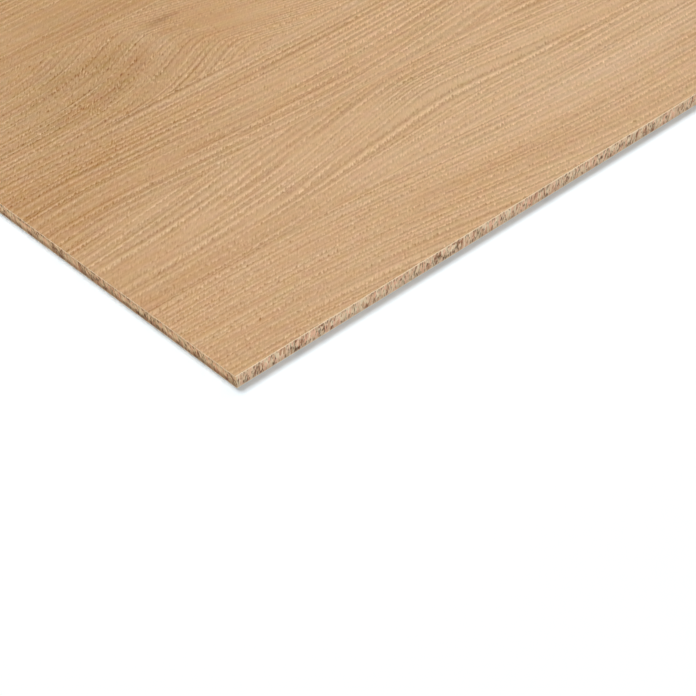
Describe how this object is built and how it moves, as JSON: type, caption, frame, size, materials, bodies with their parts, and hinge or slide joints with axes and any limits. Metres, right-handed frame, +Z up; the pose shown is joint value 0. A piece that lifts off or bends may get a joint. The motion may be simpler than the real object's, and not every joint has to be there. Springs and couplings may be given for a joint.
{
  "type": "decor-faced chipboard panel",
  "caption": "Flat rectangular chipboard panel with a beech-patterned face, a plain pale backing and sawn edges that show the pressed wood chips.",
  "frame": {"origin": "middle of the underside, where the board lies on the floor", "axes": "+X along the board's length and the grain of its decor, +Y across its width, +Z up, out of the decor face"},
  "size_m": [1.2, 0.6, 0.008],
  "materials": {
    "chipboard": "sawn, raw",
    "beech_decor": "satin melamine with fine embossed pores",
    "backing": "matt melamine"
  },
  "bodies": {
    "root": {"chipboard_core": "chipboard", "decor_face": "beech_decor", "backing_face": "backing"}
  },
  "joints": []
}
